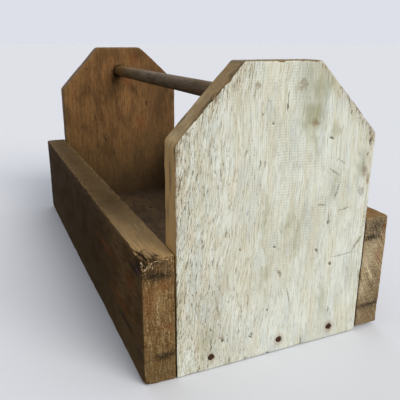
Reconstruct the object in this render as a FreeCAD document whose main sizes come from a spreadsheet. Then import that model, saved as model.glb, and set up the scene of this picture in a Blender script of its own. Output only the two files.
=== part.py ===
import FreeCAD, Part
import os
import Sketcher

# An open tool tote nailed together from five boards, with a round handle bar that turns in its sockets.
# Millimetres. +Z is up, +X is to the right of someone who faces the painted end, and the painted end
# faces -Y. The origin is on the ground under the middle of the tote.

document = FreeCAD.newDocument("tool_tote")
sizes = document.addObject("Spreadsheet::Sheet", "sizes")

driving_sizes = [
    ("end_board_width", 138.0, "both end boards and the floor are cut from one width of board"),
    ("end_board_thickness", 17.5, "planed board of the end boards"),
    ("painted_end_height", 189.5, "table to the top of the painted end board"),
    ("painted_left_corner_across", 41.0, "cut top left corner, measured across"),
    ("painted_left_corner_drop", 42.5, "the same corner, measured down"),
    ("painted_right_corner_across", 46.0, "cut top right corner, measured across"),
    ("painted_right_corner_drop", 45.0, "the same corner, measured down"),
    ("bare_end_height", 191.5, "table to the top of the bare end board"),
    ("bare_left_corner_across", 43.0, "cut top left corner, measured across"),
    ("bare_left_corner_drop", 47.0, "the same corner, measured down"),
    ("bare_right_corner_across", 44.0, "cut top right corner, measured across"),
    ("bare_right_corner_drop", 40.0, "the same corner, measured down"),
    ("tray_length", 341.0, "inside, from end board to end board"),
    ("floor_thickness", 13.0, "floor board"),
    ("left_board_thickness", 20.6, "left side board"),
    ("right_board_thickness", 20.0, "right side board"),
    ("side_board_height", 83.8, "width of the board that both sides are cut from"),
    ("right_board_lift", 2.5, "the right side board was nailed on a little above the table"),
    ("handle_diameter", 12.7, "handle bar"),
    ("handle_height", 164.5, "table to the handle's axis"),
    ("handle_side_shift", 1.5, "the axis lies this far left of the end boards' middle"),
    ("socket_depth", 12.0, "blind hole for the handle in each end board"),
    ("socket_clearance", 0.05, "between the handle and the wall of its hole, all round"),
    ("handle_end_play", 0.5, "between each end of the handle and the bottom of its hole"),
    ("handle_end_bevel", 1.0, "bevel on the handle's ends"),
    ("edge_wear", 1.2, "rounding that use has put on the boards' long edges"),
    ("right_top_rounding", 4.0, "outer top edge of the right side board, worn rounder"),
    ("broken_corner_across", 7.0, "broken corner of the left side board, along its end"),
    ("broken_corner_drop", 8.0, "the same break, down the end"),
    ("broken_corner_length", 13.0, "the same break, along the board"),
    ("old_hole_diameter", 4.5, "old nail hole in the floor"),
    ("old_hole_depth", 6.0, "how deep it goes"),
    ("old_hole_across_share", 0.572, "its place from the floor's left edge, a share of the width"),
    ("old_hole_along_share", 0.792, "its place from the painted end, a share of the tray's length"),
    ("shank_diameter", 2.4, "nail shank"),
    ("head_diameter", 4.4, "nail head"),
    ("head_thickness", 1.0, "nail head"),
    ("head_recess", 0.3, "how far a head is driven below the wood"),
    ("nail_length", 42.0, "head to tip"),
    ("point_length", 4.0, "tapered tip of a nail"),
    ("point_diameter", 0.8, "blunt end of the tip"),
    ("nail_clearance", 0.02, "between a nail and the wall of its hole, all round"),
    ("cut_overrun", 2.0, "how far a nail hole's cutter stands out of the wood"),
    ("end_nail_height_share", 0.68, "nails through the end boards, a share of the floor's thickness"),
    ("first_end_nail_share", 0.17, "their places from the left edge, shares of the end board's width"),
    ("middle_end_nail_share", 0.532, "the middle one"),
    ("last_end_nail_share", 0.828, "the one on the right"),
    ("corner_nail_above_floor", 5.5, "lower nail at each corner, from the floor's upper face"),
    ("corner_nail_below_top", 10.3, "upper nail at each corner, from the left side board's top"),
    ("side_nail_height_share", 0.5, "nails through the side boards, a share of the floor's thickness"),
    ("first_side_nail_share", 0.34, "their places from the painted end, shares of the whole length"),
    ("second_side_nail_share", 0.66, "the second one"),
]
for row, (alias, value, note) in enumerate(driving_sizes, start=1):
    sizes.set(f"A{row}", alias)
    sizes.set(f"B{row}", str(value))
    sizes.setAlias(f"B{row}", alias)
    sizes.set(f"C{row}", note)
document.recompute()

# Places that several pieces share, as expressions on the sheet.
overall_length = "(sizes.tray_length + 2 * sizes.end_board_thickness)"
sideways_shift = "((sizes.left_board_thickness - sizes.right_board_thickness) / 2)"
boards_left = f"(-sizes.end_board_width / 2 + {sideways_shift})"
boards_right = f"(sizes.end_board_width / 2 + {sideways_shift})"
painted_face = f"(-{overall_length} / 2)"
bare_face = f"({overall_length} / 2)"
handle_across = "(sizes.end_board_width / 2 - sizes.handle_side_shift)"

same_place = 1e-6


# Binding and sketching

def bind(item, expressions):
    for property_name, expression in expressions.items():
        item.setExpression(property_name, expression)


def place(item, x="0", y="0", z="0"):
    bind(item, {"Placement.Base.x": x, "Placement.Base.y": y, "Placement.Base.z": z})


def new_body(name):
    return document.addObject("PartDesign::Body", name)


def new_sketch(body, name, plane_role, offset="0"):
    sketch = body.newObject("Sketcher::SketchObject", name)
    plane = [feature for feature in body.Origin.OriginFeatures if feature.Role == plane_role][0]
    sketch.AttachmentSupport = [(plane, "")]
    sketch.MapMode = "FlatFace"
    sketch.setExpression("AttachmentOffset.Base.z", offset)
    return sketch


def hold_point(sketch, geometry, vertex, across, up):
    # a sketch numbers its horizontal axis -1 and its vertical axis -2, and its origin is point 1 of -1
    for kind, axis, expression in (("DistanceX", -2, across), ("DistanceY", -1, up)):
        if expression == "0":
            sketch.addConstraint(Sketcher.Constraint("PointOnObject", geometry, vertex, axis))
            continue
        value = sketch.evalExpression(expression)
        number = sketch.addConstraint(Sketcher.Constraint(kind, -1, 1, geometry, vertex, value))
        sketch.setExpression(f"Constraints[{number}]", expression)


def draw_outline(sketch, corners):
    points = [FreeCAD.Vector(sketch.evalExpression(across), sketch.evalExpression(up), 0)
              for across, up in corners]
    following = points[1:] + points[:1]
    for start, finish in zip(points, following):
        sketch.addGeometry(Part.LineSegment(start, finish))
    for line in range(len(points)):
        next_line = (line + 1) % len(points)
        sketch.addConstraint(Sketcher.Constraint("Coincident", line, 2, next_line, 1))
    for line, (across, up) in enumerate(corners):
        hold_point(sketch, line, 1, across, up)


def draw_circle(sketch, across, up, radius):
    centre = FreeCAD.Vector(sketch.evalExpression(across), sketch.evalExpression(up), 0)
    circle = sketch.addGeometry(Part.Circle(centre, FreeCAD.Vector(0, 0, 1), sketch.evalExpression(radius)))
    hold_point(sketch, circle, 3, across, up)
    number = sketch.addConstraint(Sketcher.Constraint("Radius", circle, sketch.evalExpression(radius)))
    sketch.setExpression(f"Constraints[{number}]", radius)


def pad(body, sketch, length, backwards):
    feature = body.newObject("PartDesign::Pad", sketch.Name + "_pad")
    feature.Profile = sketch
    feature.Reversed = backwards
    bind(feature, {"Length": length})
    document.recompute()
    return feature


def pocket(body, sketch, depth, backwards):
    wood_before = body.Shape.Volume
    feature = body.newObject("PartDesign::Pocket", sketch.Name + "_pocket")
    feature.Profile = sketch
    feature.Reversed = backwards
    bind(feature, {"Length": depth})
    document.recompute()
    if body.Shape.Volume >= wood_before:
        raise RuntimeError(f"{feature.Name} removes nothing")
    return feature


def round_edges(body, name, radius, wanted):
    base = body.Tip
    edges = [f"Edge{number}" for number, edge in enumerate(base.Shape.Edges, start=1)
             if wanted(edge.Vertexes[0].Point, edge.Vertexes[-1].Point)]
    if not edges:
        raise RuntimeError(f"{name} finds no edge")
    feature = body.newObject("PartDesign::Fillet", name)
    feature.Base = (base, edges)
    bind(feature, {"Radius": radius})
    document.recompute()
    return feature


def both_at(points, axis, value):
    return all(abs(getattr(point, axis) - value) < same_place for point in points)


# End boards. Seen from the painted end, each has a cut corner on the left and on the right.

def end_board_blank(name, finish, inner_face, outer_face):
    body = new_body(name)
    top = f"sizes.{finish}_end_height"
    outline = new_sketch(body, name + "_outline", "XZ_Plane")
    draw_outline(outline, [
        ("0", "0"),
        ("sizes.end_board_width", "0"),
        ("sizes.end_board_width", f"{top} - sizes.{finish}_right_corner_drop"),
        (f"sizes.end_board_width - sizes.{finish}_right_corner_across", top),
        (f"sizes.{finish}_left_corner_across", top),
        ("0", f"{top} - sizes.{finish}_left_corner_drop"),
    ])
    pad(body, outline, "sizes.end_board_thickness", backwards=True)

    # the blind hole is bored from the inner face, so it never shows outside
    socket = new_sketch(body, name + "_socket", "XZ_Plane", f"-({inner_face})")
    draw_circle(socket, handle_across, "sizes.handle_height",
                "sizes.handle_diameter / 2 + sizes.socket_clearance")
    pocket(body, socket, "sizes.socket_depth", backwards=inner_face != "0")

    # the outer face's edges are worn round, all but the one that stands on the table
    outer_at = float(body.evalExpression(outer_face))
    round_edges(body, name + "_wear", "sizes.edge_wear",
                lambda *ends: both_at(ends, "y", outer_at) and not both_at(ends, "z", 0))
    return body


painted_end_blank = end_board_blank("painted_end_blank", "painted", "sizes.end_board_thickness", "0")
place(painted_end_blank, boards_left, painted_face)

bare_end_blank = end_board_blank("bare_end_blank", "bare", "0", "sizes.end_board_thickness")
place(bare_end_blank, boards_left, "sizes.tray_length / 2")


# Floor board, between the end boards and the side boards

def floor_blank():
    body = new_body("floor_blank")
    outline = new_sketch(body, "floor_outline", "XY_Plane")
    draw_outline(outline, [
        ("0", "0"),
        ("sizes.end_board_width", "0"),
        ("sizes.end_board_width", "sizes.tray_length"),
        ("0", "sizes.tray_length"),
    ])
    pad(body, outline, "sizes.floor_thickness", backwards=False)

    old_hole = new_sketch(body, "floor_old_hole", "XY_Plane", "sizes.floor_thickness")
    draw_circle(old_hole, "sizes.end_board_width * sizes.old_hole_across_share",
                "sizes.tray_length * sizes.old_hole_along_share", "sizes.old_hole_diameter / 2")
    pocket(body, old_hole, "sizes.old_hole_depth", backwards=False)
    return body


floor_body = floor_blank()
place(floor_body, boards_left, "-sizes.tray_length / 2")


# Side boards, nailed over the edges of the end boards

def side_board_blank(name, thickness):
    body = new_body(name)
    outline = new_sketch(body, name + "_outline", "XZ_Plane")
    draw_outline(outline, [
        ("0", "0"),
        (thickness, "0"),
        (thickness, "sizes.side_board_height"),
        ("0", "sizes.side_board_height"),
    ])
    pad(body, outline, overall_length, backwards=True)
    return body


def break_corner(body, name):
    # the break tapers from a triangle on the board's end to a point along its top edge
    top = "sizes.side_board_height"
    start = new_sketch(body, name + "_start", "XZ_Plane")
    draw_outline(start, [
        ("0", top),
        ("0", f"{top} - sizes.broken_corner_drop"),
        ("sizes.broken_corner_across", top),
    ])
    finish = new_sketch(body, name + "_finish", "XZ_Plane", "-sizes.broken_corner_length")
    tip = finish.addGeometry(Part.Point(FreeCAD.Vector(0, finish.evalExpression(top), 0)))
    hold_point(finish, tip, 1, "0", top)
    document.recompute()
    wood_before = body.Shape.Volume
    feature = body.newObject("PartDesign::SubtractiveLoft", name)
    feature.Profile = start
    feature.Sections = [(finish, "")]
    document.recompute()
    if body.Shape.Volume >= wood_before:
        raise RuntimeError(f"{name} removes nothing")


left_blank = side_board_blank("left_side_blank", "sizes.left_board_thickness")
break_corner(left_blank, "broken_corner")
round_edges(left_blank, "left_wear", "sizes.edge_wear",
            lambda *ends: both_at(ends, "x", 0) and both_at(ends, "z", 0))
place(left_blank, f"{boards_left} - sizes.left_board_thickness", painted_face)

right_blank = side_board_blank("right_side_blank", "sizes.right_board_thickness")
right_outer = right_blank.evalExpression("sizes.right_board_thickness")
board_top = right_blank.evalExpression("sizes.side_board_height")
round_edges(right_blank, "right_top_wear", "sizes.right_top_rounding",
            lambda *ends: both_at(ends, "x", right_outer) and both_at(ends, "z", board_top))
round_edges(right_blank, "right_wear", "sizes.edge_wear",
            lambda *ends: both_at(ends, "x", right_outer) and both_at(ends, "z", 0))
place(right_blank, boards_right, painted_face, "sizes.right_board_lift")


# Handle bar, from the bottom of one socket to the bottom of the other less the end play

def handle_bar():
    body = new_body("handle_bar")
    section = new_sketch(body, "handle_section", "XZ_Plane")
    draw_circle(section, "0", "0", "sizes.handle_diameter / 2")
    bar = pad(body, section, "sizes.tray_length + 2 * (sizes.socket_depth - sizes.handle_end_play)",
              backwards=True)
    rims = [f"Edge{number}" for number, edge in enumerate(bar.Shape.Edges, start=1) if edge.isClosed()]
    bevel = body.newObject("PartDesign::Chamfer", "handle_bevel")
    bevel.Base = (bar, rims)
    bind(bevel, {"Size": "sizes.handle_end_bevel"})
    document.recompute()
    return body


handle = handle_bar()
handle.Label = "handle_dowel"
place(handle, f"{boards_left} + {handle_across}",
      "-(sizes.tray_length / 2 + sizes.socket_depth - sizes.handle_end_play)", "sizes.handle_height")


# Nails. A nail is made along +Z with its head at the start, and turned to the way it is driven.
# Its hole is cut by the same shape with the clearance added, so the two always agree.

drive_ways = {
    "to_bare_end": FreeCAD.Rotation(FreeCAD.Vector(0, 0, 1), FreeCAD.Vector(0, 1, 0)),
    "to_painted_end": FreeCAD.Rotation(FreeCAD.Vector(0, 0, 1), FreeCAD.Vector(0, -1, 0)),
    "to_right": FreeCAD.Rotation(FreeCAD.Vector(0, 0, 1), FreeCAD.Vector(1, 0, 0)),
    "to_left": FreeCAD.Rotation(FreeCAD.Vector(0, 0, 1), FreeCAD.Vector(-1, 0, 0)),
}
hole_cutters = {"painted_end": [], "bare_end": [], "left_side": [], "right_side": [], "floor": []}


def joined(name, pieces, way, x, y, z):
    whole = document.addObject("Part::MultiFuse", name)
    whole.Shapes = pieces
    whole.Placement = FreeCAD.Placement(FreeCAD.Vector(), drive_ways[way])
    place(whole, x, y, z)
    return whole


def make_nail(name, way, x, y, z):
    head = document.addObject("Part::Cylinder", name + "_head")
    bind(head, {"Radius": "sizes.head_diameter / 2", "Height": "sizes.head_thickness"})
    shank = document.addObject("Part::Cylinder", name + "_shank")
    bind(shank, {"Radius": "sizes.shank_diameter / 2",
                 "Height": "sizes.nail_length - sizes.point_length"})
    point = document.addObject("Part::Cone", name + "_point")
    bind(point, {"Radius1": "sizes.shank_diameter / 2", "Radius2": "sizes.point_diameter / 2",
                 "Height": "sizes.point_length"})
    place(point, z="sizes.nail_length - sizes.point_length")
    return joined(name, [head, shank, point], way, x, y, z)


def make_cutter(name, way, x, y, z):
    head = document.addObject("Part::Cylinder", name + "_head_hole")
    bind(head, {"Radius": "sizes.head_diameter / 2 + sizes.nail_clearance",
                "Height": "sizes.cut_overrun + sizes.head_thickness"})
    place(head, z="-sizes.cut_overrun")
    shank = document.addObject("Part::Cylinder", name + "_shank_hole")
    bind(shank, {"Radius": "sizes.shank_diameter / 2 + sizes.nail_clearance",
                 "Height": "sizes.nail_length + sizes.nail_clearance"})
    return joined(name, [head, shank], way, x, y, z)


def nail_group(name, way, boards, places):
    nails = []
    for number, (x, y, z) in enumerate(places, start=1):
        nails.append(make_nail(f"{name}_{number}", way, x, y, z))
        cutter = make_cutter(f"{name}_{number}_hole", way, x, y, z)
        for board in boards:
            hole_cutters[board].append(cutter)
    group = document.addObject("Part::Compound", name)
    group.Links = nails
    return group


end_nail_height = "sizes.floor_thickness * sizes.end_nail_height_share"
end_nail_places = [f"{boards_left} + sizes.end_board_width * sizes.{which}_end_nail_share"
                   for which in ("first", "middle", "last")]
corner_nail_heights = ["sizes.floor_thickness + sizes.corner_nail_above_floor",
                       "sizes.side_board_height - sizes.corner_nail_below_top"]
side_nail_height = "sizes.floor_thickness * sizes.side_nail_height_share"
side_nail_places = [f"{painted_face} + {overall_length} * sizes.{which}_side_nail_share"
                    for which in ("first", "second")]
corner_depth = {"painted": f"{painted_face} + sizes.end_board_thickness / 2",
                "bare": f"{bare_face} - sizes.end_board_thickness / 2"}
driven_from = {
    "left": ("to_right", f"{boards_left} - sizes.left_board_thickness + sizes.head_recess"),
    "right": ("to_left", f"{boards_right} + sizes.right_board_thickness - sizes.head_recess"),
}

nail_groups = [
    nail_group("painted_end_floor_nails", "to_bare_end", ["painted_end", "floor"],
               [(x, f"{painted_face} + sizes.head_recess", end_nail_height) for x in end_nail_places]),
    nail_group("bare_end_floor_nails", "to_painted_end", ["bare_end", "floor"],
               [(x, f"{bare_face} - sizes.head_recess", end_nail_height) for x in end_nail_places]),
]
for side, (way, head_at) in driven_from.items():
    for finish, depth in corner_depth.items():
        nail_groups.append(nail_group(f"{finish}_{side}_corner_nails", way, [f"{finish}_end", f"{side}_side"],
                                      [(head_at, depth, height) for height in corner_nail_heights]))
    nail_groups.append(nail_group(f"{side}_floor_nails", way, [f"{side}_side", "floor"],
                                  [(head_at, y, side_nail_height) for y in side_nail_places]))


# Boards as they are once the nail holes are in them

def nailed_board(name, blank, cutters):
    holes = document.addObject("Part::Compound", name + "_holes")
    holes.Links = cutters
    board = document.addObject("Part::Cut", name)
    board.Base = blank
    board.Tool = holes
    document.recompute()
    if board.Shape.Volume >= blank.Shape.Volume:
        raise RuntimeError(f"{name} has no nail holes")
    return board


boards = [
    nailed_board("painted_end_board", painted_end_blank, hole_cutters["painted_end"]),
    nailed_board("bare_end_board", bare_end_blank, hole_cutters["bare_end"]),
    nailed_board("left_side_board", left_blank, hole_cutters["left_side"]),
    nailed_board("right_side_board", right_blank, hole_cutters["right_side"]),
    nailed_board("floor_board", floor_body, hole_cutters["floor"]),
]

# Every object is sound before anything is written.
document.recompute()
for item in document.Objects:
    if "Invalid" in item.State or "Error" in item.State:
        raise RuntimeError(f"{item.Name} is {item.State}")

os.makedirs("parts", exist_ok=True)
pieces = boards + [handle] + nail_groups
for piece in pieces:
    if piece.Shape.isNull() or not piece.Shape.isValid():
        raise RuntimeError(f"{piece.Label} has no sound shape")
for piece in pieces:
    piece.Shape.exportStep(f"parts/{piece.Label}.step")
    box = piece.Shape.BoundBox
    print(f"{piece.Label}: {len(piece.Shape.Solids)} solids, {piece.Shape.Volume:.0f} mm3, "
          f"{box.XLength:.2f} x {box.YLength:.2f} x {box.ZLength:.2f}, lowest at {box.ZMin:.2f}")
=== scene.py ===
import math

import bpy
import numpy as np
from mathutils import Euler, Matrix, Vector, noise


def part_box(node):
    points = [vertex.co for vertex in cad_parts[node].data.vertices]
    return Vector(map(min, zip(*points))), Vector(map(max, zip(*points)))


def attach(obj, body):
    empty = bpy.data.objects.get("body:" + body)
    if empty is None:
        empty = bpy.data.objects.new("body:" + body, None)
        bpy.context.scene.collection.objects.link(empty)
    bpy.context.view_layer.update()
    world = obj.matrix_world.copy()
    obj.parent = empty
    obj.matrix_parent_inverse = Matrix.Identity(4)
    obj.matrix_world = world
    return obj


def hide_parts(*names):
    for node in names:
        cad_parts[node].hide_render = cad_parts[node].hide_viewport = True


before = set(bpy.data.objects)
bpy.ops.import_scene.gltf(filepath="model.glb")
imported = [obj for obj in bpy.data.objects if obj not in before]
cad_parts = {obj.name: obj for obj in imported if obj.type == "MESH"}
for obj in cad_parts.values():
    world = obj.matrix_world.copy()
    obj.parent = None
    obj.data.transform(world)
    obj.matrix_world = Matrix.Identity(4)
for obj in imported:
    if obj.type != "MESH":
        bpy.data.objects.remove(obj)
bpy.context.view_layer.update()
print("frame loaded:", len(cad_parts), "nodes")

mm = 0.001  # lengths below are in millimetres, in the frame's own axes: x across, y along, z up
softStep = dict(interpolation_type="SMOOTHSTEP")
noTurn = (0, 0, 0)
waveUnit = 0.314  # at this scale a wave texture repeats about once per unit of length


def linear(hexColour):
    # sRGB hex to the linear values that Blender's sockets take
    parts = [int(hexColour[i:i + 2], 16) / 255 for i in (1, 3, 5)]
    return [c / 12.92 if c <= 0.04045 else ((c + 0.055) / 1.055) ** 2.4 for c in parts] + [1.0]


def put(tree, kind, inputs=None, out=0, **settings):
    # adds one node, sets it up, links what comes in and gives back the socket that goes out
    node = tree.nodes.new("ShaderNode" + kind)
    for name, value in settings.items():
        setattr(node, name, value)
    for name, value in (inputs or {}).items():
        if isinstance(value, bpy.types.NodeSocket):
            tree.links.new(value, node.inputs[name])
        else:
            node.inputs[name].default_value = value
    return node.outputs[out]


def coats(tree, colour, layers):
    # lays coats of colour over each other: each has its colour and the masks that let it through
    for above, *masks in layers:
        mask = masks[0]
        for other in masks[1:]:
            mask = put(tree, "Math", {0: mask, 1: other}, operation="MULTIPLY")
        above = linear(above) if isinstance(above, str) else above
        colour = put(tree, "Mix", {0: mask, 6: colour, 7: above}, 2, data_type="RGBA")
    return colour


def sizeAlong(axis, width, length):
    # a size along x, y and z that is long along one axis
    size = [width] * 3
    size[axis] = length
    return size


def specks(tree, place, size, start, end, seed=0.0, lift=None):
    # patches of this size along x, y and z: none up to start in the noise, full from end on
    # lift is a mask and how much it adds to the noise, for more patches there
    shrunk = put(tree, "Mapping", {"Vector": place, "Scale": [1 / s for s in size], "Location": (seed,) * 3})
    grey = put(tree, "TexNoise", {"Vector": shrunk, "Scale": 1.0, "Detail": 2.0, "Roughness": 0.55})
    if lift:
        grey = put(tree, "Math", {0: lift[0], 1: lift[1], 2: grey}, operation="MULTIPLY_ADD")
    return put(tree, "MapRange", {"Value": grey, 1: start, 2: end}, **softStep)


def ragged(tree, place, size, amount):
    # places pushed about by noise of this size, so that marks drawn there get torn edges
    shrunk = put(tree, "Mapping", {"Vector": place, "Scale": [1 / s for s in size]})
    push = put(tree, "TexNoise", {"Vector": shrunk, "Scale": 1.0, "Detail": 3.0}, "Color")
    push = put(tree, "VectorMath", {0: push, 1: (0.5, 0.5, 0.5)}, operation="SUBTRACT")
    return put(tree, "VectorMath", {0: push, 1: (amount,) * 3, 2: place}, operation="MULTIPLY_ADD")


def ovals(tree, place, marks, soft, fray=None):
    # 1 in each oval mark and 0 outside it: (middle, half sizes, turn in degrees if any), all along x, y, z
    # fray is a mask whose fibres break the marks up
    farOff, frayed = 9.0, 0.7
    nearest, turned = farOff, {noTurn: place}
    for middle, half, *turns in marks:
        turn = turns[0] if turns else noTurn
        spin = Euler([math.radians(t) for t in turn])
        if turn not in turned:
            turned[turn] = put(tree, "Mapping", {"Vector": place, "Rotation": spin}, vector_type="TEXTURE")
        centre = spin.to_matrix().transposed() @ Vector(middle)
        inside = put(tree, "VectorMath", {0: turned[turn], 1: centre}, operation="SUBTRACT")
        inside = put(tree, "VectorMath", {0: inside, 1: half}, operation="DIVIDE")
        apart = put(tree, "VectorMath", {0: inside}, 1, operation="LENGTH")
        nearest = put(tree, "Math", {0: nearest, 1: apart}, operation="MINIMUM")
    if fray is not None:
        nearest = put(tree, "Math", {0: fray, 1: frayed, 2: nearest}, operation="MULTIPLY_ADD")
    return put(tree, "MapRange", {"Value": nearest, 1: 1 + soft, 2: 1 - soft}, **softStep)


def facing(tree, direction, start=0.6, end=0.85, bothWays=False):
    # 1 where the surface looks this way
    normal = put(tree, "TexCoord", out="Normal")
    share = put(tree, "VectorMath", {0: normal, 1: direction}, 1, operation="DOT_PRODUCT")
    if bothWays:
        share = put(tree, "Math", {0: share}, operation="ABSOLUTE")
    return put(tree, "MapRange", {"Value": share, 1: start, 2: end}, **softStep)


def between(tree, place, axis, start, end):
    # rises from 0 to 1 from start to end along one axis
    value = put(tree, "SeparateXYZ", {0: place}, "XYZ"[axis])
    return put(tree, "MapRange", {"Value": value, 1: start, 2: end}, **softStep)


def fanned(tree, place, fan):
    # keeps still along wood rays that fan out from one edge of an end face and changes across them
    x = put(tree, "SeparateXYZ", {0: place}, "X")
    z = put(tree, "SeparateXYZ", {0: place}, "Z")
    fromEdge = put(tree, "Math", {0: x, 1: fan["edge"]}, operation="SUBTRACT")
    curl = put(tree, "Math", {0: fromEdge, 1: math.e}, operation="LOGARITHM")
    across = put(tree, "Math", {0: x, 1: fan["slope"], 2: z}, operation="MULTIPLY_ADD")
    across = put(tree, "Math", {0: curl, 1: fan["curl"], 2: across}, operation="MULTIPLY_ADD")
    return put(tree, "CombineXYZ", {0: across, 2: z})


def newMaterial(name):
    # a material, its nodes, its shader, and places on the piece in millimetres
    material = bpy.data.materials.new(name)
    material.use_nodes = True
    tree = material.node_tree
    inMetres = put(tree, "TexCoord", out="Object")
    place = put(tree, "VectorMath", {0: inMetres, 1: (1 / mm,) * 3}, operation="MULTIPLY")
    return material, tree, tree.nodes["Principled BSDF"], place


# what all the bare wood shares: a board's own look, in its plan, adds to this and overrides it
# patches: how wide, how long along the grain, from where to where in the noise, seed; scuffs start with a
# size along x, y and z
commonWood = dict(
    wanderSize=45, wander=7, flattened=0.06,
    fibres=(0.9, 24, 0.42, 0.66, 0.0), paleFibres=(1.1, 17, 0.52, 0.7, 15.0), pores=(0.7, 7, 0.6, 0.68, 9.0),
    broad=(7, 45, 0.42, 0.66, 4.0), dirt=(14, 26, 0.45, 0.68, 21.0), worn=(2.4, 8, 0.36, 0.6, 27.0),
    scuffs=((0.8, 0.8, 9), 0.66, 0.74, 33.0), scuffTilt=(0.5, 0.6, 0.4),
    broadShows=0.6, fibreShows=0.65, paleShows=0.22, grimeShows=0.5, poreShows=0.7, scuffShows=0.3,
    tornSize=(2.6, 7), tornBy=5.0,
    # the seam tone is painted shade, laid into the gaps between boards and into holes
    faces=(), fades=(), marks=(), rimShows=0.6, seams=(), seam="#120d09", paintedShadeShows=0.92, paintedShadeSoft=0.3,
    ironReach=(4.2, 8.5), iron="#2a2321", ironShows=0.55, ironSoft=0.7,
    level=0.6, fibreRise=-0.5, poreRise=-0.9, lateWoodRise=0.5,
    relief=0.2, rough=0.72, rougherDirt=0.12, gloss=0.14,
)

# what all the end grain shares: from where to where in the noise, and a seed
commonEnds = dict(
    darkRays=(0.46, 0.62, 3.0), paleRays=(0.52, 0.66, 19.0), rayShows=0.6,
    darkFlecks=(0.5, 0.64, 5.0), paleFlecks=(0.54, 0.66, 14.0), fleckShows=0.6,
    darkFleckSize=(0.9, 0.9, 1.2), paleFleckSize=(0.7, 0.7, 1.0), fleck=1.0,
)


def grown(tree, place):
    # the same places, wandering a little as grown wood does
    spread = 1 / commonWood["wanderSize"]
    wander = put(tree, "TexNoise", {"Vector": place, "Scale": spread, "Detail": 2.0}, "Color")
    reach = (commonWood["wander"],) * 3
    return put(tree, "VectorMath", {0: wander, 1: reach, 2: place}, operation="MULTIPLY_ADD")


def patches(tree, place, along, kind):
    # patches drawn out along the grain
    width, length, *rest = kind
    return specks(tree, place, sizeAlong(along, width, length), *rest)


def endGrain(tree, place, look):
    # end grain, cut across: rays and rings seen end on, darker where it drank dirt
    ends = {**commonEnds, **look["ends"]}
    endPlace = fanned(tree, place, ends["fan"]) if "fan" in ends else place
    darkSize = [s * ends["fleck"] for s in ends["darkFleckSize"]]
    paleSize = [s * ends["fleck"] for s in ends["paleFleckSize"]]
    return coats(tree, linear(ends["base"]), [
        (ends["dark"], specks(tree, endPlace, ends["rays"], *ends["darkRays"]), ends["rayShows"]),
        (ends["pale"], specks(tree, endPlace, ends["rays"], *ends["paleRays"]), ends["rayShows"]),
        (ends["dark"], specks(tree, place, darkSize, *ends["darkFlecks"]), ends["fleckShows"]),
        (ends["pale"], specks(tree, place, paleSize, *ends["paleFlecks"]), ends["fleckShows"]),
    ])


def agedWood(tree, place, bent, plan):
    # bare, aged softwood: growth rings, fibres, open pores, blotches of dirt, wear and rust round the nails
    # gives its colour, its height and where it is dirty
    look, along = {**commonWood, **plan["look"]}, plan["grain"]
    flat = sizeAlong(along, 1.0, look["flattened"])
    centred = put(tree, "VectorMath", {0: bent, 1: look["pith"]}, operation="SUBTRACT")
    centred = put(tree, "VectorMath", {0: centred, 1: flat}, operation="MULTIPLY")
    wave = {"Vector": centred, "Scale": waveUnit / look["ringGap"], "Distortion": look["ringBend"],
            "Detail": 2.0, "Detail Scale": 1.2}
    rings = put(tree, "TexWave", wave, wave_type="RINGS", rings_direction="XYZ"[along], wave_profile="SAW")
    lateWood = put(tree, "MapRange", {"Value": rings, 1: 0.35, 2: 1.0, 4: look["ringShows"]}, **softStep)
    fibres = patches(tree, bent, along, look["fibres"])
    paleFibres = patches(tree, bent, along, look["paleFibres"])
    pores = patches(tree, bent, along, look["pores"])
    broad = patches(tree, bent, along, look["broad"])
    grime = patches(tree, place, along, look["dirt"])
    tilted = put(tree, "Mapping", {"Vector": place, "Rotation": look["scuffTilt"]})
    scuffs = specks(tree, tilted, *look["scuffs"])
    colour = coats(tree, linear(look["earlyWood"]), [
        (look["lateWood"], lateWood),
        (look["broadTone"], broad, look["broadShows"]),
        (look["fibre"], fibres, look["fibreShows"]),
        (look["pale"], paleFibres, look["paleShows"]),
        (look["grime"], grime, look["grimeShows"]),
        (look["pore"], pores, look["poreShows"]),
        (look["pale"], scuffs, look["scuffShows"]),
    ])
    if "ends" in look:
        endColour = endGrain(tree, place, look)
        endMask = facing(tree, sizeAlong(along, 0.0, 1.0), 0.5, 0.75, True)
        colour = coats(tree, colour, [(endColour, endMask)])
    edge = put(tree, "Attribute", out="Fac", attribute_name="edge")
    worn = patches(tree, place, along, look["worn"])
    torn = ragged(tree, place, sizeAlong(along, *look["tornSize"]), look["tornBy"])
    layers = [(tone, facing(tree, direction), amount) for direction, tone, amount in look["faces"]]
    layers += [(tone, between(tree, torn, axis, start, end), amount)
               for tone, amount, axis, start, end in look["fades"]]
    layers.append((look["rim"], edge, worn, look["rimShows"]))
    # painted shade in the gaps between boards and in holes
    layers += [(look["seam"], ovals(tree, place, [seam], look["paintedShadeSoft"]), look["paintedShadeShows"])
               for seam in look["seams"]]
    layers += [(tone, ovals(tree, torn, marks, soft, fibres), amount)
               for tone, amount, soft, marks in look["marks"]]
    heads = headsIn(*plan["nails"])
    if heads:
        # iron turns the wood round old nails blue black, further along the grain than across it
        rusty = [(head, sizeAlong(along, *look["ironReach"])) for head in heads]
        layers.append((look["iron"], ovals(tree, torn, rusty, look["ironSoft"], fibres), look["ironShows"]))
    colour = coats(tree, colour, layers)
    height = look["level"]
    rises = ((fibres, look["fibreRise"]), (pores, look["poreRise"]), (lateWood, look["lateWoodRise"]))
    for mask, rise in rises:
        height = put(tree, "Math", {0: mask, 1: rise, 2: height}, operation="MULTIPLY_ADD")
    return colour, height, grime


def finish(tree, shader, colour, height, depth, rough):
    # colour, relief this deep in mm, and roughness: one number, or a mask and the two it runs between
    tree.links.new(colour, shader.inputs["Base Color"])
    bump = put(tree, "Bump", {"Height": height, "Distance": depth * mm, "Strength": 1.0})
    tree.links.new(bump, shader.inputs["Normal"])
    if isinstance(rough, tuple):
        mask, clean, dirty = rough
        tree.links.new(put(tree, "MapRange", {"Value": mask, 3: clean, 4: dirty}), shader.inputs["Roughness"])
    else:
        shader.inputs["Roughness"].default_value = rough


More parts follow.
